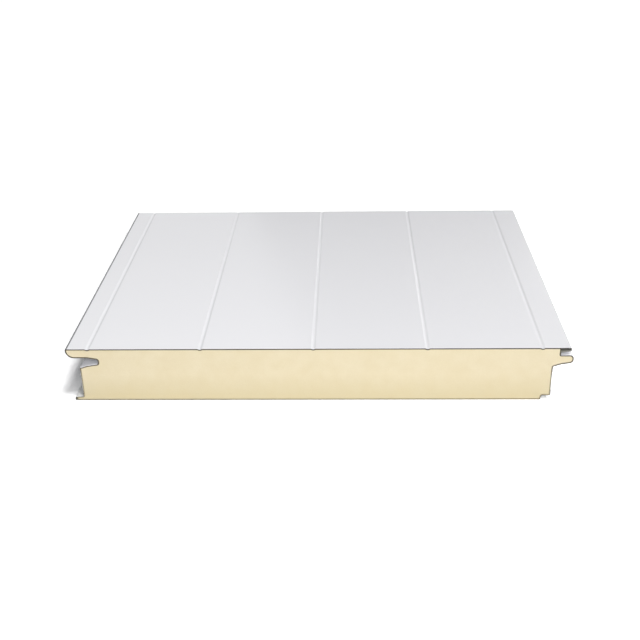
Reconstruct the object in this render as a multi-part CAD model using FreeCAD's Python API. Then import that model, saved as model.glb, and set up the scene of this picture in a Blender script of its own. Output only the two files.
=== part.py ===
import FreeCAD, Part
import math
import os

os.makedirs("parts", exist_ok=True)

# Insulated sandwich panel, cut to a short length and lying on its interior face.
#
# Row frame: +X is the cover direction, from the female edge to the male edge. +Y is the
# panel's length. +Z goes through the thickness, from the interior face at Z = 0 to the
# weather face. The origin is at the middle of the panel's box, on the interior face.
#
# The section is drawn in (u, z): u is measured along X from the tip of the outer leg and
# z from the interior face. Every profile runs counter-clockwise round the section, so the
# core is on its left. Each of its points is (u, z, inside bend radius).

# Overall sizes, mm
cover_width = 1000.0  # module: from one panel to the next
panel_thickness = 125.0
panel_length = 800.0

# Sheet and tape
outer_sheet = 0.6
inner_sheet = 0.5
tape_thickness = 0.3
tape_lap = 8.0  # tape tucked under each hem
hem_width = 14.0  # facing folded onto the flat of an edge, past the last bend
bend_radius = 1.2  # inside radius of an ordinary bend

# Clearances of the joint between two panels
joint_gap = 1.0  # between facing flats and flanks
crown_gap = 1.0  # above the tongue in the groove
inner_reveal = 3.0  # shadow gap that shows on the interior face

# Male edge. Rises are along u from the module line, depths from the weather face
male_flat_rise = 25.0
tongue_height = 41.0  # above the flat
tongue_slot_depth = 17.5  # flank beside the slot
tongue_crown_depth = 35.3  # inner flank at the crown
tongue_waist_depth = 39.0
tongue_waist_height = 16.6
tongue_foot_depth = 44.6
crown_radius = 7.6
waist_radius = 20.0
slot_floor_height = 13.5  # above the flat
lip_height = 22.0  # above the slot floor
lip_root_width = 10.8
lip_top_width = 7.4
lip_radius = 2.8
step_height = 10.5  # the step's flank above the interior face
step_radius = 2.4
ledge_root_drop = 18.7  # below the flat
ledge_face_drop = 20.5
ledge_radius = 3.0

# Female edge
leg_width = 21.5
leg_nose_radius = 17.0
leg_straight = 43.0  # from the tip to where the inside flank leans
groove_crown_depth = 25.6  # outer flank at the crown
groove_radius = 4.2
inner_leg_tip = 7.5
inner_leg_void = 4.0  # hollow fold at the tip of the inner leg
nose_radius = 2.0  # at the tip of the inner leg

# Ribs rolled into the weather face
rib_count = 5
rib_first = 47.0  # centre of the first rib from the leg's tip
rib_last_rise = 0.5  # centre of the last rib past the module line
rib_width = 10.0
rib_floor_width = 2.5
rib_depth = 1.5
rib_radius = 2.0

# Levels that follow from the sizes above
male_flat = cover_width + male_flat_rise
tongue_top = male_flat + tongue_height
slot_floor = male_flat + slot_floor_height
lip_top = slot_floor + lip_height
face_end = male_flat - ledge_face_drop
female_flat = male_flat_rise + joint_gap
groove_top = tongue_top - cover_width + crown_gap
inner_leg_end = face_end - cover_width + inner_reveal
male_core = male_flat - outer_sheet  # core side of the facings on the male flat
female_core = female_flat + outer_sheet
outer_hem_end = tongue_foot_depth + hem_width
inner_hem_end = step_height + hem_width
overall_width = max(tongue_top, lip_top)


def below_face(depth):
    """Height of a point that lies depth under the weather face."""
    return panel_thickness - depth


def tongue_profile():
    """From the hem on the male flat over the tongue and down into the slot."""
    return [
        (male_flat, below_face(outer_hem_end), 0.0),
        (male_flat, below_face(tongue_foot_depth), bend_radius),
        (male_flat + tongue_waist_height, below_face(tongue_waist_depth), waist_radius),
        (tongue_top, below_face(tongue_crown_depth), crown_radius),
        (tongue_top, below_face(tongue_slot_depth), crown_radius),
        (slot_floor, below_face(tongue_slot_depth), bend_radius),
    ]


def lip_profile():
    """From the slot's floor up the return and over the lip to the weather face."""
    return [
        (slot_floor, below_face(lip_root_width), bend_radius),
        (lip_top, below_face(lip_top_width), lip_radius),
        (lip_top, panel_thickness, lip_radius),
    ]


def rib_profile(centre):
    """One shallow rib, pressed into the weather face."""
    floor = below_face(rib_depth)
    return [
        (centre + rib_width / 2, panel_thickness, rib_radius),
        (centre + rib_floor_width / 2, floor, rib_radius),
        (centre - rib_floor_width / 2, floor, rib_radius),
        (centre - rib_width / 2, panel_thickness, rib_radius),
    ]


def leg_profile():
    """From the weather face round the leg's nose, up the groove and back to the flat."""
    crown = below_face(tongue_crown_depth + joint_gap)
    waist = below_face(tongue_waist_depth + joint_gap)
    foot = below_face(tongue_foot_depth + joint_gap)
    return [
        (0.0, panel_thickness, bend_radius),
        (0.0, below_face(leg_width), leg_nose_radius),
        (leg_straight, below_face(leg_width), waist_radius),
        (groove_top, below_face(groove_crown_depth), groove_radius),
        (groove_top, crown, groove_radius),
        (female_flat + tongue_waist_height, waist, waist_radius),
        (female_flat, foot, bend_radius),
        (female_flat, below_face(outer_hem_end), 0.0),
    ]


def outer_profile():
    """The weather side of the outer facing, in one piece."""
    pitch = (cover_width + rib_last_rise - rib_first) / (rib_count - 1)
    points = tongue_profile() + lip_profile()
    for i in reversed(range(rib_count)):
        points += rib_profile(rib_first + i * pitch)
    return points + leg_profile()


def inner_profile():
    """The room side of the inner facing: inner leg, plain face, ledge and step."""
    male_hem = male_core + inner_sheet
    female_hem = female_core - inner_sheet
    return [
        (female_hem, inner_hem_end, 0.0),
        (female_hem, step_height - joint_gap, bend_radius),
        (inner_leg_end, inner_leg_tip, nose_radius),
        (inner_leg_end, 0.0, nose_radius),
        (face_end, 0.0, bend_radius),
        (male_flat - ledge_root_drop, step_height, ledge_radius),
        (male_hem, step_height, step_radius),
        (male_hem, inner_hem_end, 0.0),
    ]


def heading(a, b):
    """Unit direction from point a to point b."""
    length = math.hypot(b[0] - a[0], b[1] - a[1])
    return (b[0] - a[0]) / length, (b[1] - a[1]) / length


def turn(before, after):
    """Angle from one heading to the next, positive to the left."""
    cross = before[0] * after[1] - before[1] * after[0]
    return math.atan2(cross, before[0] * after[0] + before[1] * after[1])


def fitted_bends(profile, sheet):
    """The profile with each bend made small enough for the flats beside it."""
    reach = [0.0] * len(profile)
    for i in range(1, len(profile) - 1):
        before = heading(profile[i - 1], profile[i])
        after = heading(profile[i], profile[i + 1])
        reach[i] = (profile[i][2] + sheet) * math.tan(abs(turn(before, after)) / 2)
    fitted = [profile[0]]
    for i in range(1, len(profile) - 1):
        share = 1.0
        for j in (i - 1, i + 1):
            flat = math.dist(profile[i][:2], profile[j][:2])
            share = min(share, 0.98 * flat / (reach[i] + reach[j]))
        radius = (profile[i][2] + sheet) * share - sheet
        fitted.append((profile[i][0], profile[i][1], max(radius, sheet / 4)))
    return fitted + [profile[-1]]


def surface(profile, sheet, inset):
    """The profile moved by inset towards the core, with the radius its bends have there."""
    moved = []
    last = len(profile) - 1
    for i, (u, z, inside) in enumerate(profile):
        before = heading(profile[i - 1], profile[i]) if i > 0 else None
        after = heading(profile[i], profile[i + 1]) if i < last else None
        before, after = before or after, after or before
        aligned = 1 + before[0] * after[0] + before[1] * after[1]
        u -= inset * (before[1] + after[1]) / aligned
        z += inset * (before[0] + after[0]) / aligned
        on_left = turn(before, after) > 0
        radius = inside + (sheet - inset if on_left else inset)
        moved.append((u, z, radius if 0 < i < last else 0.0))
    return moved


def point(u, z):
    """A section point in the row frame, on the panel's near end."""
    return FreeCAD.Vector(u - overall_width / 2, -panel_length / 2, z)


def outline_face(points):
    """Flat face inside a closed outline, with an arc at every point that has a radius."""
    edges = []
    starts, ends = [], []
    count = len(points)
    for i, (u, z, radius) in enumerate(points):
        before = heading(points[i - 1], points[i])
        after = heading(points[i], points[(i + 1) % count])
        half = abs(turn(before, after)) / 2
        reach = radius * math.tan(half)
        start = point(u - before[0] * reach, z - before[1] * reach)
        end = point(u + after[0] * reach, z + after[1] * reach)
        starts.append(start)
        ends.append(end)
        if radius > 0:
            inward = heading(before, after)
            sag = radius / math.cos(half) - radius
            middle = point(u + inward[0] * sag, z + inward[1] * sag)
            edges.append(Part.Arc(start, middle, end).toShape())
    for i in range(count):
        edges.append(Part.makeLine(ends[i], starts[(i + 1) % count]))
    return Part.Face(Part.Wire(Part.__sortEdges__(edges)))


def rectangle(u_low, u_high, z_low, z_high):
    """Flat rectangular face of the section."""
    corners = [(u_low, z_low), (u_high, z_low), (u_high, z_high), (u_low, z_high)]
    return outline_face([(u, z, 0.0) for u, z in corners])


def rolled(face):
    """A section face run through the panel's whole length."""
    return face.extrude(FreeCAD.Vector(0, panel_length, 0))


def facing(profile, sheet):
    """A roll-formed sheet: the profile and its core side, a sheet's thickness apart."""
    skin = surface(profile, sheet, 0.0)
    core_side = surface(profile, sheet, sheet)
    return rolled(outline_face(skin + core_side[::-1]))


def edge_tape(core_level, towards_core):
    """Foil tape that bridges the two hems of an edge from their core side."""
    under = core_level + towards_core * tape_thickness
    low = inner_hem_end - tape_lap
    high = below_face(outer_hem_end - tape_lap)
    return rolled(rectangle(min(under, core_level), max(under, core_level), low, high))


def foam_core(outer, inner, tapes):
    """Foam between the facings. It doesn't rise into the lip or the inner leg's fold."""
    outer_side = surface(outer, outer_sheet, outer_sheet)[1:-1]
    inner_side = surface(inner, inner_sheet, inner_sheet)[1:-1]
    block = rolled(outline_face(outer_side + inner_side))
    lip_hollow = rectangle(
        slot_floor - outer_sheet, lip_top, below_face(lip_root_width), panel_thickness
    )
    leg_hollow = rectangle(
        inner_leg_end, inner_leg_end + inner_leg_void, 0.0, step_height
    )
    core = block.cut([rolled(lip_hollow), rolled(leg_hollow)] + tapes)
    return core.removeSplitter()


outer = fitted_bends(outer_profile(), outer_sheet)
inner = fitted_bends(inner_profile(), inner_sheet)
male_tape = edge_tape(male_core, -1)
female_tape = edge_tape(female_core, 1)

nodes = {
    "outer_facing": facing(outer, outer_sheet),
    "inner_facing": facing(inner, inner_sheet),
    "foam_core": foam_core(outer, inner, [male_tape, female_tape]),
    "male_edge_tape": male_tape,
    "female_edge_tape": female_tape,
}

for name, shape in nodes.items():
    solid = shape if shape.ShapeType == "Solid" else shape.Solids[0]
    solid.exportStep(f"parts/{name}.step")
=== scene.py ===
import math

import bmesh
import bpy
from bpy.props import (
    FloatProperty,
    FloatVectorProperty,
    IntProperty,
    PointerProperty,
    StringProperty,
)
from mathutils import Matrix, Vector, noise


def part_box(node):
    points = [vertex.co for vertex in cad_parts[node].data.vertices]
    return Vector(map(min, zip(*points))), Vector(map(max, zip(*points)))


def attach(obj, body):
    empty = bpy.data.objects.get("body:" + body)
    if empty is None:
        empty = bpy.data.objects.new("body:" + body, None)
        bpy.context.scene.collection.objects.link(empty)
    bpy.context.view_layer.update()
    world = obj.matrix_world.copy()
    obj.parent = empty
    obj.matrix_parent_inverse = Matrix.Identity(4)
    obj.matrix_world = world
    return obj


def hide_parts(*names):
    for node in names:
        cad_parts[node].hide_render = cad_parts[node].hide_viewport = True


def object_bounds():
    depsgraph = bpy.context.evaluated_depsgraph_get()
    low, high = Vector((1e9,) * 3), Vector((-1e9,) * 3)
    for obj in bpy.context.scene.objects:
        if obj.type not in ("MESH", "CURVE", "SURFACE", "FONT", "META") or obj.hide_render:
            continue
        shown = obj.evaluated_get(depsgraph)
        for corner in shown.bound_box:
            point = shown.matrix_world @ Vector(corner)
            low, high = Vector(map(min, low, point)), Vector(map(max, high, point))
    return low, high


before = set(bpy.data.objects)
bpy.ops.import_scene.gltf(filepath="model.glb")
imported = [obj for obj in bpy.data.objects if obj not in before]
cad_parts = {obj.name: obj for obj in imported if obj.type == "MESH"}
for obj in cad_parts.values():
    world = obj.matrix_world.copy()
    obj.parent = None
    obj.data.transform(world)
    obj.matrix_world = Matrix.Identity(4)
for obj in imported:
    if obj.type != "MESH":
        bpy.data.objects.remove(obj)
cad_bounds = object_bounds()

bl_info = {
    "name": "Insulated sandwich panel",
    "version": (1, 0, 0),
    "blender": (4, 5, 0),
    "location": "View3D > Sidebar > Panel",
    "description": "Dresses a roll-formed sandwich panel with facings, foam, tapes and a studio",
    "category": "Object",
}

MM = 0.001
BODY = "root"

# Meshes
ALONG = 100 * MM  # an edge that spans less of Y than this doesn't run along the panel
BEND_STEP = math.radians(7)  # a bend gets an edge about this often
SAME = MM / 1000  # places closer than this are the same
ACROSS = 0.9  # a face whose normal is this close to Y closes an end of the panel
SAWN = 0.01  # less skin than this is sawn foam
SLOW_WAVE = 70 * MM  # lengths of the waves that the saw leaves
QUICK_WAVE = 9 * MM

# Materials
NOISE_SPAN = (0.3, 0.7)  # most of a noise texture's values lie between these
CARD_SPAN = (1.1, 1.5)  # heights between which a card's brightness changes, m

# The frame's boxes
OUTER_LOW, OUTER_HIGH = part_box("outer_facing")
INNER_LOW, INNER_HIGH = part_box("inner_facing")
FOAM_LOW, FOAM_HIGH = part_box("foam_core")
MALE_TAPE_LOW, MALE_TAPE_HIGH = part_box("male_edge_tape")
FEMALE_TAPE_LOW, FEMALE_TAPE_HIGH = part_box("female_edge_tape")


# ---------------------------------------------------------------- settings


def length(name, description, default):
    """A length property in metres, given in millimetres."""
    return FloatProperty(
        name=name, description=description, default=default * MM, unit="LENGTH", precision=5
    )


class SectionSettings(bpy.types.PropertyGroup):
    """Sizes of the roll-formed section that the frame's boxes don't give."""

    bend_radius: length("Bend radius", "Inside radius of an ordinary bend", 1.2)
    tongue_slot_depth: length("Tongue slot depth", "Weather face to the tongue's outer flank", 17.5)
    tongue_crown_depth: length("Tongue crown depth", "Weather face to the inner flank's top", 35.3)
    tongue_waist_depth: length("Tongue waist depth", "Weather face to the flank's bend", 39.0)
    tongue_waist_height: length("Tongue waist height", "Flat to the flank's bend", 16.6)
    tongue_foot_depth: length("Tongue foot depth", "Weather face to the tongue's foot", 44.6)
    crown_radius: length("Crown radius", "Inside radius of the tongue's crown", 7.6)
    waist_radius: length("Waist radius", "Inside radius of the flank's bend", 20.0)
    slot_floor_height: length("Slot floor height", "Flat to the slot's floor", 13.5)
    lip_height: length("Lip height", "Slot floor to the top of the hook lip", 22.0)
    lip_root_width: length("Lip root width", "Hook lip's width at the slot's floor", 10.8)
    lip_top_width: length("Lip top width", "Hook lip's width at its top", 7.4)
    lip_radius: length("Lip radius", "Inside radius of the hook lip's bends", 2.8)
    step_height: length("Step height", "Interior face to the step's flank", 10.5)
    step_radius: length("Step radius", "Inside radius of the step's top bend", 2.4)
    ledge_root_drop: length("Ledge root drop", "Flat to the ledge at the step", 18.7)
    ledge_face_drop: length("Ledge face drop", "Flat to the ledge at the interior face", 20.5)
    ledge_radius: length("Ledge radius", "Inside radius at the ledge's root", 3.0)
    leg_width: length("Leg width", "Width of the foam-filled outer leg", 21.5)
    leg_nose_radius: length("Leg nose radius", "Inside radius of the outer leg's nose", 17.0)
    leg_straight: length("Leg straight", "Leg tip to where its flank leans", 43.0)
    groove_top: length("Groove top", "Leg tip to the groove's crown", 67.0)
    groove_crown_depth: length("Groove crown depth", "Weather face to the groove's crown", 25.6)
    groove_radius: length("Groove radius", "Inside radius of the groove's crown", 4.2)
    joint_gap: length("Joint gap", "Clearance between mating flanks", 1.0)
    inner_leg_tip: length("Inner leg tip", "Width of the inner leg at its tip", 7.5)
    inner_leg_void: length("Inner leg void", "Hollow fold at the inner leg's tip", 4.0)
    nose_radius: length("Inner leg radius", "Inside radius of the inner leg's tip", 2.0)


class RibSettings(bpy.types.PropertyGroup):
    """The shallow ribs rolled into the weather face."""

    count: IntProperty(name="Ribs", description="Number of ribs", default=5, min=2)
    first: length("First rib", "Leg tip to the first rib's centre", 47.0)
    last: length("Last rib", "Leg tip to the last rib's centre", 1000.5)
    width: length("Rib width", "Width of a rib at the face", 10.0)
    floor: length("Rib floor", "Width of a rib's floor", 2.5)
    depth: length("Rib depth", "Depth of a rib", 1.5)
    radius: length("Rib radius", "Inside radius of a rib's bends", 2.0)


class FinishSettings(bpy.types.PropertyGroup):
    """Colours as sRGB hex, and the depth of the saw cut in the foam."""

    paint: StringProperty(name="Paint", description="Weather coating", default="EAEAED")
    # Painted shade: a dark band on the bend at the leg's tip, where that bend falls into shade.
    shade_colour: StringProperty(name="Rub", description="Scuffed bend at the leg's tip", default="595B5E")
    lining: StringProperty(name="Lining", description="Interior coating", default="E2E2DF")
    foam: StringProperty(name="Foam", description="Foam near the weather face", default="F1E5C7")
    # Painted shade: the foam is painted darker towards the interior face, which lies on the floor.
    foam_low_shade: StringProperty(
        name="Deep foam", description="Foam near the interior face", default="E0D4B1"
    )
    # Partly the dense skin's own colour and partly a painted shadow line along the facings.
    skin_and_joint_shade: StringProperty(
        name="Foam skin", description="Dense foam beside the facings", default="40382E"
    )
    blotch: StringProperty(name="Blotch", description="Blotches of the foam", default="DECC9E")
    # Painted shade between the foam's cells.
    cell_shade: StringProperty(
        name="Cell wall", description="Edges of the foam's cells", default="C9B585"
    )
    # Partly the sheared edge's own colour and partly a painted shadow line along it.
    steel: StringProperty(name="Steel", description="Sheared edge of the sheet", default="2E2B27")
    backing: StringProperty(
        name="Backing", description="Primer behind the sheets", default="B0AEA6"
    )
    foil: StringProperty(name="Foil", description="Foil of the edge tapes", default="D5D7DA")
    # Where the band of painted shade at the leg's tip lies.
    shade_width: length("Rub width", "Leg tip to where the rubbed band starts to fade", 3.5)
    shade_edge: length("Rub edge", "Leg tip to where the band ends", 5.0)
    shade_depth: length("Rub depth", "Weather face to where the band starts to fade", 3.0)
    shade_foot: length("Rub foot", "Weather face to where the band ends", 5.0)
    # The ring that carries the dense skin and its painted shadow line.
    skin_and_shade_width: length("Skin width", "Width of the dense foam beside the facings", 2.6)
    foam_recess: length("Foam recess", "How far the saw leaves the foam behind the steel", 0.5)
    saw_wave: length("Saw wave", "Depth of the waves that the saw leaves in the foam", 0.35)
    saw_grid: length("Saw grid", "Spacing of the mesh that carries the saw's waves", 3.0)


class StageSettings(bpy.types.PropertyGroup):
    """Camera, lamps and floor."""

    camera_place: FloatVectorProperty(
        name="Camera place",
        description="From the middle of the near end's foot",
        default=(0.0674, -1.7562, 1.0968),
        unit="LENGTH",
        precision=4,
    )
    camera_azimuth: FloatProperty(
        name="Azimuth", description="Turn to the left", default=math.radians(2.0), unit="ROTATION"
    )
    camera_elevation: FloatProperty(
        name="Elevation", description="Tilt down", default=math.radians(27.23), unit="ROTATION"
    )
    camera_roll: FloatProperty(
        name="Roll", description="Roll", default=math.radians(-1.14), unit="ROTATION"
    )
    camera_lens: FloatProperty(name="Lens", description="Focal length, mm", default=54.12)
    dome: FloatProperty(name="Dome", description="Strength of the light all round", default=0.09)
    dome_side: FloatProperty(
        name="Dome side", description="How much the dome favours the male side", default=0.5
    )
    dome_front: FloatProperty(
        name="Dome front", description="How much the dome favours the near end", default=0.1
    )
    dome_top: FloatProperty(
        name="Dome top", description="How much the dome favours the zenith", default=0.1
    )
    sun: FloatProperty(name="Sun", description="Strength of the high key", default=1.76)
    near_fill: FloatProperty(
        name="Near fill", description="Strength of the low fill at the near end", default=0.5
    )
    far_fill: FloatProperty(
        name="Far fill", description="Strength of the low fill at the far end", default=0.8
    )
    softbox: FloatProperty(name="Softbox", description="Power of the front softbox", default=25.0)
    softbox_size: FloatProperty(
        name="Softbox size", description="Side of the softbox", default=1.2, unit="LENGTH"
    )
    paper: FloatProperty(name="Paper", description="How white the floor is seen", default=1.35)
    floor_lit: StringProperty(
        name="Lit floor",
        description="The floor's colour in the light that it throws back",
        default="E8E8E8",
    )
    grey_low: FloatProperty(name="Grey card", description="Brightness at its foot", default=0.25)
    grey_high: FloatProperty(
        name="Grey card's top", description="Brightness at its top", default=0.5
    )
    strip: FloatProperty(name="Strip", description="Brightness of the strip light", default=1.0)
    floor_size: FloatProperty(
        name="Floor", description="Floor's width", default=60.0, unit="LENGTH"
    )


# ---------------------------------------------------------------- section


def below_face(depth):
    """Height of a point that lies depth under the weather face."""
    return OUTER_HIGH.z - depth


def tongue_bends(s):
    """From the hem on the male flat over the tongue and down into the slot."""
    flat = MALE_TAPE_HIGH.x + outer_sheet()
    return [
        (flat, OUTER_LOW.z, 0.0),
        (flat, below_face(s.tongue_foot_depth), s.bend_radius),
        (flat + s.tongue_waist_height, below_face(s.tongue_waist_depth), s.waist_radius),
        (OUTER_HIGH.x, below_face(s.tongue_crown_depth), s.crown_radius),
        (OUTER_HIGH.x, below_face(s.tongue_slot_depth), s.crown_radius),
        (flat + s.slot_floor_height, below_face(s.tongue_slot_depth), s.bend_radius),
    ]


def lip_bends(s):
    """From the slot's floor up the return and over the lip to the weather face."""
    floor = MALE_TAPE_HIGH.x + outer_sheet() + s.slot_floor_height
    return [
        (floor, below_face(s.lip_root_width), s.bend_radius),
        (floor + s.lip_height, below_face(s.lip_top_width), s.lip_radius),
        (floor + s.lip_height, OUTER_HIGH.z, s.lip_radius),
    ]


def rib_bends(r, centre):
    """One shallow rib, pressed into the weather face."""
    floor = below_face(r.depth)
    return [
        (centre + r.width / 2, OUTER_HIGH.z, r.radius),
        (centre + r.floor / 2, floor, r.radius),
        (centre - r.floor / 2, floor, r.radius),
        (centre - r.width / 2, OUTER_HIGH.z, r.radius),
    ]


def leg_bends(s):
    """From the weather face round the leg's nose, up the groove and back to the flat."""
    tip = OUTER_LOW.x
    flat = FEMALE_TAPE_LOW.x - outer_sheet()
    crown = below_face(s.tongue_crown_depth + s.joint_gap)
    waist = below_face(s.tongue_waist_depth + s.joint_gap)
    foot = below_face(s.tongue_foot_depth + s.joint_gap)
    return [
        (tip, OUTER_HIGH.z, s.bend_radius),
        (tip, below_face(s.leg_width), s.leg_nose_radius),
        (tip + s.leg_straight, below_face(s.leg_width), s.waist_radius),
        (tip + s.groove_top, below_face(s.groove_crown_depth), s.groove_radius),
        (tip + s.groove_top, crown, s.groove_radius),
        (flat + s.tongue_waist_height, waist, s.waist_radius),
        (flat, foot, s.bend_radius),
        (flat, OUTER_LOW.z, 0.0),
    ]


def outer_bends(s, r):
    """The weather side of the outer facing as (x, z, inside radius), in one piece."""
    pitch = (r.last - r.first) / (r.count - 1)
    bends = tongue_bends(s) + lip_bends(s)
    for i in reversed(range(r.count)):
        bends += rib_bends(r, OUTER_LOW.x + r.first + i * pitch)
    return bends + leg_bends(s)


def inner_bends(s):
    """The room side of the inner facing: inner leg, plain face, ledge and step."""
    flat = MALE_TAPE_HIGH.x + outer_sheet()
    floor = INNER_LOW.z
    return [
        (FEMALE_TAPE_LOW.x - inner_sheet(), INNER_HIGH.z, 0.0),
        (FEMALE_TAPE_LOW.x - inner_sheet(), floor + s.step_height - s.joint_gap, s.bend_radius),
        (INNER_LOW.x, floor + s.inner_leg_tip, s.nose_radius),
        (INNER_LOW.x, floor, s.nose_radius),
        (flat - s.ledge_face_drop, floor, s.bend_radius),
        (flat - s.ledge_root_drop, floor + s.step_height, s.ledge_radius),
        (INNER_HIGH.x, floor + s.step_height, s.step_radius),
        (INNER_HIGH.x, INNER_HIGH.z, 0.0),
    ]


def outer_sheet():
    """Thickness of the outer facing."""
    return OUTER_HIGH.z - FOAM_HIGH.z


def inner_sheet():
    """Thickness of the inner facing."""
    return FOAM_LOW.z - INNER_LOW.z


def heading(a, b):
    """Unit direction from section point a to section point b."""
    return (Vector(b[:2]) - Vector(a[:2])).normalized()


def surface(bends, sheet, inset):
    """The section moved by inset towards the core, with the radius its bends have there."""
    moved = []
    last = len(bends) - 1
    for i, (x, z, inside) in enumerate(bends):
        before = heading(bends[max(i, 1) - 1], bends[max(i, 1)])
        after = heading(bends[min(i, last - 1)], bends[min(i, last - 1) + 1])
        across = Vector((-before.y - after.y, before.x + after.x))
        across *= inset / (1 + before.dot(after))
        on_left = before.cross(after) > 0
        radius = inside + (sheet - inset if on_left else inset)
        moved.append((x + across.x, z + across.y, radius if 0 < i < last else 0.0))
    return moved


# ---------------------------------------------------------------- meshes


def bend_edge(bm, x, z):
    """The edge along the panel that runs nearest to a section point."""

    def miss(edge):
        a, b = edge.verts[0].co, edge.verts[1].co
        if abs(a.y - b.y) < ALONG:
            return math.inf
        return (a.x - x) ** 2 + (a.z - z) ** 2

    return min(bm.edges, key=miss)


def roll_form(bm, points, y_low, y_high, closed):
    """Runs a section along the panel and rounds each bend to its radius."""
    verts = [bm.verts.new((x, y_low, z)) for x, z, _ in points]
    count = len(verts)
    spans = count if closed else count - 1
    edges = [bm.edges.new((verts[i], verts[(i + 1) % count])) for i in range(spans)]
    run = bmesh.ops.extrude_edge_only(bm, edges=edges)["geom"]
    far = [g for g in run if isinstance(g, bmesh.types.BMVert)]
    bmesh.ops.translate(bm, verts=far, vec=(0, y_high - y_low, 0))
    for i, (x, z, radius) in enumerate(points):
        if radius <= 0:
            continue
        before = heading(points[i - 1], points[i])
        after = heading(points[i], points[(i + 1) % count])
        turn = before.angle(after)
        bmesh.ops.bevel(
            bm,
            geom=[bend_edge(bm, x, z)],
            offset=radius * math.tan(turn / 2),
            offset_type="OFFSET",
            affect="EDGES",
            segments=max(2, math.ceil(turn / BEND_STEP)),
            profile=0.5,
            material=-1,
            clamp_overlap=False,
        )
    bm.normal_update()
    widest = max(bm.faces, key=lambda f: f.calc_area())
    above_middle = widest.calc_center_median().z - (OUTER_HIGH.z + INNER_LOW.z) / 2
    if widest.normal.z * above_middle < 0:
        bmesh.ops.reverse_faces(bm, faces=bm.faces)


def finish_piece(bm, name, node, materials):
    """Turns a bmesh into a piece that stands for a CAD node."""
    mesh = bpy.data.meshes.new(name)
    bm.to_mesh(mesh)
    bm.free()
    for material in materials:
        mesh.materials.append(material)
    mesh.polygons.foreach_set("use_smooth", [True] * len(mesh.polygons))
    piece = bpy.data.objects.new(name, mesh)
    bpy.context.scene.collection.objects.link(piece)
    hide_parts(node)
    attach(piece, BODY)
    return piece


def give_thickness(piece, sheet):
    """Makes a rolled surface a sheet with sheared edges and a primed back, on its core side."""
    wall = piece.modifiers.new("Sheet", "SOLIDIFY")
    wall.thickness = sheet
    wall.offset = -1.0
    wall.use_even_offset = True
    wall.material_offset_rim = 1
    wall.material_offset = 2
    # The shear rounds its edge by about an eighth of the sheet.
    edge = piece.modifiers.new("Sheared edge", "BEVEL")
    edge.width = sheet / 8
    edge.segments = 2
    edge.limit_method = "ANGLE"
    edge.angle_limit = math.radians(60)
    edge.harden_normals = True
    flats = piece.modifiers.new("Flat normals", "WEIGHTED_NORMAL")
    flats.keep_sharp = True


# ---------------------------------------------------------------- materials


def linear(code):
    """sRGB hex to the linear colour that a shader takes."""
    channels = [int(code[i : i + 2], 16) / 255 for i in (0, 2, 4)]
    curve = [c / 12.92 if c <= 0.04045 else ((c + 0.055) / 1.055) ** 2.4 for c in channels]
    return (*curve, 1.0)


def add_node(tree, kind, inputs=None, **settings):
    """Adds a node. Each input gets a value, or the socket that feeds it."""
    made = tree.nodes.new(kind)
    for key, value in settings.items():
        setattr(made, key, value)
    for socket, value in (inputs or {}).items():
        if isinstance(value, bpy.types.NodeSocket):
            tree.links.new(value, made.inputs[socket])
        else:
            made.inputs[socket].default_value = value
    return made


def new_material(name):
    """An empty node material, and the tree to fill."""
    material = bpy.data.materials.new(name)
    material.use_nodes = True
    material.node_tree.nodes.clear()
    return material, material.node_tree


def end_in(tree, shader):
    """Ends a material in a shader."""
    add_node(tree, "ShaderNodeOutputMaterial", {"Surface": shader.outputs[0]})


def object_place(tree):
    """Object coordinates, in metres."""
    return add_node(tree, "ShaderNodeTexCoord").outputs["Object"]


def axes_of(tree, place):
    """The three coordinates of a place."""
    return add_node(tree, "ShaderNodeSeparateXYZ", {"Vector": place}).outputs


def noise_of(tree, place, size, detail):
    """Noise with grains of about a size."""
    inputs = {"Vector": place, "Scale": 1 / size, "Detail": detail}
    return add_node(tree, "ShaderNodeTexNoise", inputs).outputs["Fac"]


def cells_of(tree, place, size):
    """Cells of about a size, as the distance from their middles."""
    inputs = {"Vector": place, "Scale": 1 / size}
    return add_node(tree, "ShaderNodeTexVoronoi", inputs, feature="F1").outputs["Distance"]


def mapped(tree, value, span, low=0.0, high=1.0):
    """A value mapped from a span to low and high, and held beyond them."""
    inputs = {"Value": value, "From Min": span[0], "From Max": span[1], "To Min": low}
    inputs["To Max"] = high
    return add_node(tree, "ShaderNodeMapRange", inputs).outputs["Result"]


def mixed(tree, share, first, second):
    """The first colour with a share of the second in it."""
    inputs = {"Fac": share, "Color1": first, "Color2": second}
    return add_node(tree, "ShaderNodeMixRGB", inputs).outputs["Color"]


def bumped(tree, height, strength, distance, **under):
    """The normal that a height gives, over the normal under it."""
    inputs = {"Height": height, "Strength": strength, "Distance": distance, **under}
    return add_node(tree, "ShaderNodeBump", inputs).outputs["Normal"]


def coil_coating(name, code, roughness, painted_shade=None):
    """Coil-coated polyester on steel: smooth, semi-gloss, with a faint orange peel."""
    material, tree = new_material(name)
    place = object_place(tree)
    # A rolled sheet is never quite flat: waves about 250 mm long.
    waves = bumped(tree, noise_of(tree, place, 250 * MM, 1.0), 1.0, 0.4 * MM)
    # The peel's grain is about 1.5 mm across.
    peel = bumped(tree, noise_of(tree, place, 1.5 * MM, 2.0), 0.25, 0.02 * MM, Normal=waves)
    # Handling leaves the gloss a little uneven, over some 80 mm.
    wiped = noise_of(tree, place, 80 * MM, 3.0)
    gloss = mapped(tree, wiped, NOISE_SPAN, roughness - 0.03, roughness + 0.03)
    colour = linear(code)
    # Painted shade: a dark band along the bend at the leg's tip.
    if painted_shade is not None:
        colour = mixed(tree, painted_tip_shade(tree, place, painted_shade), colour, linear(painted_shade.shade_colour))
    inputs = {"Base Color": colour, "Roughness": gloss, "IOR": 1.5, "Normal": peel}
    end_in(tree, add_node(tree, "ShaderNodeBsdfPrincipled", inputs))
    return material


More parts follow.
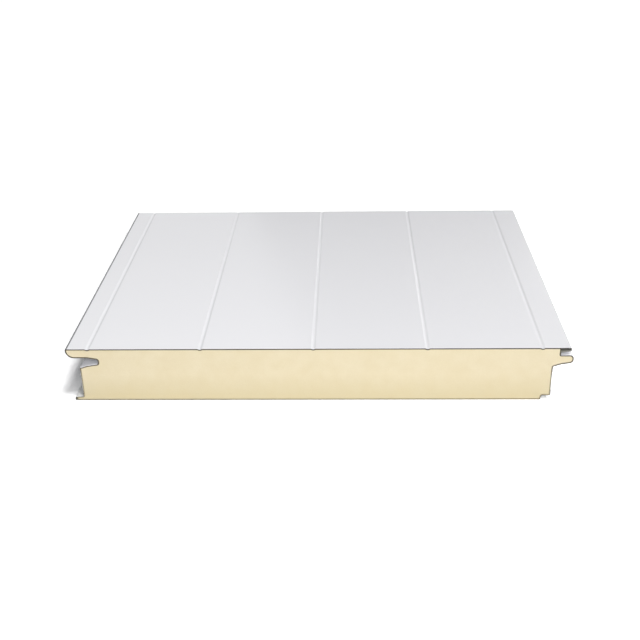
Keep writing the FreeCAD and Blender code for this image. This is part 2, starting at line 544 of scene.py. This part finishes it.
def painted_tip_shade(tree, place, f):
    """How strongly painted shade darkens the bend along the leg's tip."""
    axes = axes_of(tree, place)
    inwards = (OUTER_LOW.x + f.shade_width, OUTER_LOW.x + f.shade_edge)
    across = mapped(tree, axes["X"], inwards, 0.9, 0.0)
    down = mapped(tree, axes["Z"], (below_face(f.shade_foot), below_face(f.shade_depth)))
    return add_node(tree, "ShaderNodeMath", {0: across, 1: down}, operation="MULTIPLY").outputs[0]


def sheared_steel(code):
    """Galvanised steel sheared with its coating: dull and finely streaked, dark partly of its own
    and partly as a painted shadow line along the edge.
    """
    material, tree = new_material("sheared_galvanised_steel")
    # Shear marks about 0.4 mm apart, drawn at 2 mm so that they show.
    streaks = noise_of(tree, object_place(tree), 2 * MM, 3.0)
    rough = mapped(tree, streaks, (0.0, 1.0), 0.4, 0.65)
    inputs = {"Base Color": linear(code), "Metallic": 0.6, "Roughness": rough}
    end_in(tree, add_node(tree, "ShaderNodeBsdfPrincipled", inputs))
    return material


def rigid_foam(f):
    """Sawn polyisocyanurate foam: matte, closed cells, denser at the facings. Painted shade darkens
    it low down and between its cells, and its ring at the facings is partly browner skin and partly
    painted shadow line.
    """
    material, tree = new_material("sawn_rigid_foam")
    place = object_place(tree)
    height = axes_of(tree, place)["Z"]
    # Painted shade: the foam is darker towards the interior face.
    lower_half = (INNER_LOW.z, (INNER_LOW.z + OUTER_HIGH.z) / 2)
    colour = mixed(tree, mapped(tree, height, lower_half), linear(f.foam_low_shade), linear(f.foam))
    # Blotches from the foam's rise, about 30 mm across.
    rise = mapped(tree, noise_of(tree, place, 30 * MM, 4.0), NOISE_SPAN, 0.0, 0.2)
    colour = mixed(tree, rise, colour, linear(f.blotch))
    # Cells are about 0.4 mm across, drawn at 1.6 mm so that they show.
    cells = cells_of(tree, place, 1.6 * MM)
    # Painted shade: each cell is darker towards its edge.
    cell_shade_share = mapped(tree, cells, (0.0, 0.9), 0.0, 0.16)
    colour = mixed(tree, cell_shade_share, colour, linear(f.cell_shade))
    # The ring at the facings is partly the denser skin and partly a painted shadow line along the
    # joint, painted darker towards the weather face.
    most = mapped(tree, height, (INNER_LOW.z, OUTER_HIGH.z), 0.5)
    ring = add_node(tree, "ShaderNodeAttribute", attribute_name="skin_and_shade").outputs["Fac"]
    skin_and_shade = mapped(tree, ring, (0.0, 0.4), 0.0, most)
    colour = mixed(tree, skin_and_shade, colour, linear(f.skin_and_joint_shade))
    grain = bumped(tree, cells, 0.5, 0.3 * MM)
    inputs = {"Base Color": colour, "Roughness": 0.92, "IOR": 1.3, "Normal": grain}
    end_in(tree, add_node(tree, "ShaderNodeBsdfPrincipled", inputs))
    return material


def foil_tape(code):
    """Aluminium foil on paper: bright, slightly creased metal."""
    material, tree = new_material("aluminium_foil_tape")
    # Creases about 12 mm apart.
    creases = bumped(tree, cells_of(tree, object_place(tree), 12 * MM), 0.6, 0.5 * MM)
    inputs = {"Base Color": linear(code), "Metallic": 1.0, "Roughness": 0.35, "Normal": creases}
    end_in(tree, add_node(tree, "ShaderNodeBsdfPrincipled", inputs))
    return material


def direct_ray(tree):
    """1 for a ray from the camera, or one that gloss or glass passes on, and 0 otherwise."""
    path = add_node(tree, "ShaderNodeLightPath").outputs
    total = path["Is Camera Ray"]
    for kind in ("Is Glossy Ray", "Is Transmission Ray"):
        inputs = {0: total, 1: path[kind]}
        total = add_node(tree, "ShaderNodeMath", inputs, operation="MAXIMUM").outputs[0]
    return total


def either(tree, share, first, second):
    """The first shader, or the second where the share is 1."""
    inputs = {0: share, 1: first.outputs[0], 2: second.outputs[0]}
    return add_node(tree, "ShaderNodeMixShader", inputs)


def studio_floor(white, lit_code):
    """Matte paper that is seen as white, with the object's shadow on it."""
    material, tree = new_material("white_paper_floor")
    lit = add_node(tree, "ShaderNodeBsdfDiffuse", {"Color": linear(lit_code)})
    seen = add_node(tree, "ShaderNodeBsdfDiffuse", {"Color": (white, white, white, 1.0)})
    paper = either(tree, direct_ray(tree), lit, seen)
    # From below it is clear, so that the camera sees past it.
    under = add_node(tree, "ShaderNodeNewGeometry").outputs["Backfacing"]
    clear = add_node(tree, "ShaderNodeBsdfTransparent")
    end_in(tree, either(tree, under, paper, clear))
    return material


def card_face(name, low, high):
    """A plain card that only gloss mirrors, shaded from its foot to its top."""
    material, tree = new_material(name)
    height = axes_of(tree, object_place(tree))["Z"]
    glow = {"Strength": mapped(tree, height, CARD_SPAN, low, high)}
    end_in(tree, add_node(tree, "ShaderNodeEmission", glow))
    return material


# ---------------------------------------------------------------- operators


def rolled_sheet(name, node, bends, sheet, box, materials):
    """A roll-formed sheet in place of a facing."""
    bm = bmesh.new()
    roll_form(bm, surface(bends, sheet, 0.0), box[0].y, box[1].y, closed=False)
    give_thickness(finish_piece(bm, name, node, materials), sheet)


class PANEL_OT_outer_facing(bpy.types.Operator):
    """Roll the weather facing: tongue, slot, hook lip, ribs, leg and groove"""

    bl_idname = "sandwich_panel.outer_facing"
    bl_label = "Outer facing"

    def execute(self, context):
        scene = context.scene
        finish = scene.panel_finish
        rolled_sheet(
            "outer_facing_sheet",
            "outer_facing",
            outer_bends(scene.panel_section, scene.panel_ribs),
            outer_sheet(),
            (OUTER_LOW, OUTER_HIGH),
            [
                coil_coating("coil_coated_steel_white", finish.paint, 0.2, painted_shade=finish),
                sheared_steel(finish.steel),
                coil_coating("backing_primer", finish.backing, 0.5),
            ],
        )
        return {"FINISHED"}


class PANEL_OT_inner_facing(bpy.types.Operator):
    """Roll the interior facing: leg, plain face, ledge and step"""

    bl_idname = "sandwich_panel.inner_facing"
    bl_label = "Inner facing"

    def execute(self, context):
        scene = context.scene
        rolled_sheet(
            "inner_facing_sheet",
            "inner_facing",
            inner_bends(scene.panel_section),
            inner_sheet(),
            (INNER_LOW, INNER_HIGH),
            [
                coil_coating("coil_coated_steel_lining", scene.panel_finish.lining, 0.36),
                bpy.data.materials["sheared_galvanised_steel"],
                bpy.data.materials["backing_primer"],
            ],
        )
        return {"FINISHED"}


class PANEL_OT_foam_core(bpy.types.Operator):
    """Fill the facings with foam and saw its ends"""

    bl_idname = "sandwich_panel.foam_core"
    bl_label = "Foam core"

    def execute(self, context):
        scene = context.scene
        finish = scene.panel_finish
        bm = bmesh.new()
        foam_block(bm, scene.panel_section, scene.panel_ribs, finish)
        saw_ends(bm, finish)
        finish_piece(bm, "foam_core_block", "foam_core", [rigid_foam(finish)])
        return {"FINISHED"}


def foam_points(s, r):
    """The core's outline: the facings' core sides, level over the folds and under the tapes."""
    outer = surface(outer_bends(s, r), outer_sheet(), outer_sheet())[1:-1]
    inner = surface(inner_bends(s), inner_sheet(), inner_sheet())[1:-1]
    # The foam goes straight up at the slot's floor, past the three bends of the lip.
    lip_start = len(tongue_bends(s)) - 1
    level = outer[lip_start][0]
    outer[lip_start : lip_start + 3] = [(level, FOAM_HIGH.z, 0.0)]
    # It ends square at the hollow fold of the inner leg.
    tip = INNER_LOW.x + s.inner_leg_void
    lean = (inner[1][1] - inner[0][1]) / (inner[1][0] - inner[0][0])
    flank = inner[0][1] + (tip - inner[0][0]) * lean
    inner[1:3] = [(tip, flank, 0.0), (tip, FOAM_LOW.z, 0.0)]
    under_male_tape = [
        (MALE_TAPE_HIGH.x, MALE_TAPE_LOW.z, 0.0),
        (MALE_TAPE_LOW.x, MALE_TAPE_LOW.z, 0.0),
        (MALE_TAPE_LOW.x, MALE_TAPE_HIGH.z, 0.0),
        (MALE_TAPE_HIGH.x, MALE_TAPE_HIGH.z, 0.0),
    ]
    under_female_tape = [
        (FEMALE_TAPE_LOW.x, FEMALE_TAPE_HIGH.z, 0.0),
        (FEMALE_TAPE_HIGH.x, FEMALE_TAPE_HIGH.z, 0.0),
        (FEMALE_TAPE_HIGH.x, FEMALE_TAPE_LOW.z, 0.0),
        (FEMALE_TAPE_LOW.x, FEMALE_TAPE_LOW.z, 0.0),
    ]
    return under_male_tape + outer + under_female_tape + inner


def foam_block(bm, s, r, finish):
    """The core run along the panel, a little short of the steel at both ends."""
    points = foam_points(s, r)
    y_low = FOAM_LOW.y + finish.foam_recess
    y_high = FOAM_HIGH.y - finish.foam_recess
    roll_form(bm, points, y_low, y_high, closed=True)
    for y in (y_low, y_high):
        rim = [e for e in bm.edges if all(abs(v.co.y - y) < SAME for v in e.verts)]
        bmesh.ops.edgeloop_fill(bm, edges=rim)
    bmesh.ops.recalc_face_normals(bm, faces=bm.faces)


def closes_end(face):
    """Whether a face lies across the panel."""
    return abs(face.normal.y) > ACROSS


def saw_ends(bm, finish):
    """Rings each end with dense foam and its painted shadow line, then waves the sawn surface
    inwards.
    """
    skin_and_shade = bm.verts.layers.float.new("skin_and_shade")
    for end in [f for f in bm.faces if closes_end(f)]:
        for vert in end.verts:
            vert[skin_and_shade] = 1.0
        bmesh.ops.inset_region(bm, faces=[end], thickness=finish.skin_and_shade_width, use_even_offset=True)
        for vert in end.verts:
            vert[skin_and_shade] = 0.0
    for axis in (2, 0):
        normal = Vector((0, 0, 0))
        normal[axis] = 1.0
        span = FOAM_HIGH[axis] - FOAM_LOW[axis]
        steps = int(span / finish.saw_grid)
        for i in range(1, steps):
            cut = Vector(FOAM_LOW)
            cut[axis] += i * span / steps
            faces = [f for f in bm.faces if closes_end(f)]
            # Each edge and vert once, in an order that is the same on every run.
            edges = dict.fromkeys(e for f in faces for e in f.edges)
            verts = dict.fromkeys(v for f in faces for v in f.verts)
            bmesh.ops.bisect_plane(
                bm, geom=[*faces, *edges, *verts], plane_co=cut, plane_no=normal
            )
    for vert in bm.verts:
        if vert[skin_and_shade] > SAWN or not any(closes_end(f) for f in vert.link_faces):
            continue
        inwards = 1 if vert.co.y < 0 else -1
        slow = noise.noise(vert.co / SLOW_WAVE)
        quick = noise.noise(vert.co / QUICK_WAVE)
        # These shares keep the wave between none and all of its depth.
        vert.co.y += inwards * finish.saw_wave * (0.5 + 0.3 * slow + 0.2 * quick)


class PANEL_OT_edge_tapes(bpy.types.Operator):
    """Give the edge tapes their creased foil"""

    bl_idname = "sandwich_panel.edge_tapes"
    bl_label = "Edge tapes"

    def execute(self, context):
        foil = foil_tape(context.scene.panel_finish.foil)
        for node in ("male_edge_tape", "female_edge_tape"):
            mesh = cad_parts[node].data
            mesh.materials.clear()
            mesh.materials.append(foil)
        return {"FINISHED"}


class PANEL_OT_stage(bpy.types.Operator):
    """Set the floor, the cards, the lamps, the world and the camera"""

    bl_idname = "sandwich_panel.stage"
    bl_label = "Stage"

    def execute(self, context):
        stage = context.scene.panel_stage
        add_floor(context, stage)
        add_cards(context, stage)
        add_lamps(context, stage)
        add_world(context, stage)
        add_camera(context, stage)
        context.scene.view_settings.view_transform = "Standard"
        return {"FINISHED"}


def stage_plane(context, name, size, place, turn, material):
    """A flat stage piece that isn't part of the object."""
    bm = bmesh.new()
    bmesh.ops.create_grid(bm, x_segments=1, y_segments=1, size=0.5)
    bmesh.ops.scale(bm, verts=bm.verts, vec=(size[0], size[1], 1))
    bmesh.ops.rotate(bm, verts=bm.verts, matrix=turn)
    bmesh.ops.translate(bm, verts=bm.verts, vec=place)
    mesh = bpy.data.meshes.new(name)
    bm.to_mesh(mesh)
    bm.free()
    mesh.materials.append(material)
    piece = bpy.data.objects.new(name, mesh)
    context.scene.collection.objects.link(piece)
    return piece


def add_floor(context, stage):
    """White paper under the panel's interior face."""
    size = (stage.floor_size, stage.floor_size)
    place = (0, 0, cad_bounds[0].z)
    paper = studio_floor(stage.paper, stage.floor_lit)
    stage_plane(context, "floor", size, place, Matrix.Identity(3), paper)


def add_cards(context, stage):
    """Cards that only gloss sees: grey, pale and bright behind, dark beside and below."""
    upright = Matrix.Rotation(math.radians(90), 3, "X")
    leaning = Matrix.Rotation(math.radians(16.8), 3, "Y") @ upright
    sideways = Matrix.Rotation(math.radians(90), 3, "Z") @ upright
    level = Matrix.Identity(3)
    # Name, brightness at the foot and the top, size, middle and turn. Lengths are in metres.
    cards = (
        ("grey_card", (stage.grey_low, stage.grey_high), (3.2, 3.4), (1.36, 3.0, 1.6), leaning),
        ("pale_card", (0.8, 0.8), (2.4, 1.5), (-1.5, 3.1, 0.75), upright),
        ("strip_light", (stage.strip, stage.strip), (0.8, 0.7), (1.4, 2.4, 0.95), upright),
        ("dark_card", (0.5, 0.5), (7.0, 1.6), (-1.6, 3.5, 0.8), sideways),
        ("low_flag", (0.1, 0.1), (1.0, 1.8), (-1.06, 0.35, 0.002), level),
    )
    for name, shades, size, place, turn in cards:
        card = stage_plane(context, name, size, place, turn, card_face(name, *shades))
        card.visible_camera = False
        card.visible_diffuse = False
        card.visible_shadow = False


def add_lamps(context, stage):
    """A high key, low fills at both ends and a softbox. Gloss mirrors the key alone."""
    # Name, kind, strength, spread in degrees and place. Each lamp points at the origin.
    lamps = (
        ("key", "SUN", stage.sun, 14, (0.53, -0.5, 2.0)),
        ("near_fill", "SUN", stage.near_fill, 30, (1.6, -2.0, 0.8)),
        ("far_fill", "SUN", stage.far_fill, 14, (0.5, 2.2, 0.8)),
        ("softbox", "AREA", stage.softbox, 0, (0.3, -2.2, 1.6)),
    )
    for name, kind, strength, spread, place in lamps:
        lamp = bpy.data.lights.new(name, kind)
        lamp.energy = strength
        if kind == "SUN":
            lamp.angle = math.radians(spread)
        else:
            lamp.shape = "SQUARE"
            lamp.size = stage.softbox_size
        holder = bpy.data.objects.new(name, lamp)
        holder.location = place
        holder.rotation_euler = (-Vector(place)).to_track_quat("-Z", "Y").to_euler()
        holder.visible_glossy = name == "key"
        context.scene.collection.objects.link(holder)


def add_world(context, stage):
    """A dome, brighter towards one side, that camera, gloss and glass see as plain white."""
    world = bpy.data.worlds.new("studio")
    world.use_nodes = True
    tree = world.node_tree
    tree.nodes.clear()
    towards = add_node(tree, "ShaderNodeTexCoord").outputs["Generated"]
    favoured = (stage.dome_side, -stage.dome_front, stage.dome_top)
    lean = add_node(
        tree, "ShaderNodeVectorMath", {0: towards, 1: favoured}, operation="DOT_PRODUCT"
    )
    inputs = {0: lean.outputs["Value"], 1: stage.dome, 2: stage.dome}
    strength = add_node(tree, "ShaderNodeMath", inputs, operation="MULTIPLY_ADD").outputs[0]
    dome, white = (
        add_node(tree, "ShaderNodeBackground", {"Color": (1, 1, 1, 1), "Strength": level})
        for level in (strength, 1.0)
    )
    seen = either(tree, direct_ray(tree), dome, white)
    add_node(tree, "ShaderNodeOutputWorld", {"Surface": seen.outputs[0]})
    context.scene.world = world


def add_camera(context, stage):
    """A normal lens in front of the cut end, looking down on the panel."""
    camera = bpy.data.objects.new("camera", bpy.data.cameras.new("camera"))
    camera.data.lens = stage.camera_lens
    camera.data.sensor_width = 36.0
    foot = Vector(((cad_bounds[0].x + cad_bounds[1].x) / 2, cad_bounds[0].y, cad_bounds[0].z))
    turn = Matrix.Rotation(stage.camera_azimuth, 4, "Z")
    tilt = Matrix.Rotation(math.radians(90) - stage.camera_elevation, 4, "X")
    roll = Matrix.Rotation(stage.camera_roll, 4, "Z")
    place = Matrix.Translation(foot + Vector(stage.camera_place))
    camera.matrix_world = place @ turn @ tilt @ roll
    context.scene.collection.objects.link(camera)
    context.scene.camera = camera


class PANEL_PT_sidebar(bpy.types.Panel):
    """Lists the panel's settings and operators"""

    bl_idname = "PANEL_PT_sidebar"
    bl_label = "Sandwich panel"
    bl_space_type = "VIEW_3D"
    bl_region_type = "UI"
    bl_category = "Panel"

    def draw(self, context):
        layout = self.layout
        for operator in OPERATORS:
            layout.operator(operator.bl_idname)
        for name, group in SETTINGS.items():
            box = layout.box()
            for key in group.__annotations__:
                box.prop(getattr(context.scene, name), key)


SETTINGS = {
    "panel_section": SectionSettings,
    "panel_ribs": RibSettings,
    "panel_finish": FinishSettings,
    "panel_stage": StageSettings,
}
OPERATORS = (
    PANEL_OT_outer_facing,
    PANEL_OT_inner_facing,
    PANEL_OT_foam_core,
    PANEL_OT_edge_tapes,
    PANEL_OT_stage,
)


def register():
    """Registers the settings, operators and sidebar panel."""
    for name, group in SETTINGS.items():
        bpy.utils.register_class(group)
        setattr(bpy.types.Scene, name, PointerProperty(type=group))
    for cls in (*OPERATORS, PANEL_PT_sidebar):
        bpy.utils.register_class(cls)


def unregister():
    """Removes what register added."""
    for cls in reversed((*OPERATORS, PANEL_PT_sidebar)):
        bpy.utils.unregister_class(cls)
    for name, group in SETTINGS.items():
        delattr(bpy.types.Scene, name)
        bpy.utils.unregister_class(group)


def main():
    """Builds every piece and the stage."""
    register()
    bpy.ops.sandwich_panel.outer_facing()
    bpy.ops.sandwich_panel.inner_facing()
    bpy.ops.sandwich_panel.foam_core()
    bpy.ops.sandwich_panel.edge_tapes()
    bpy.ops.sandwich_panel.stage()


if __name__ == "__main__":
    main()
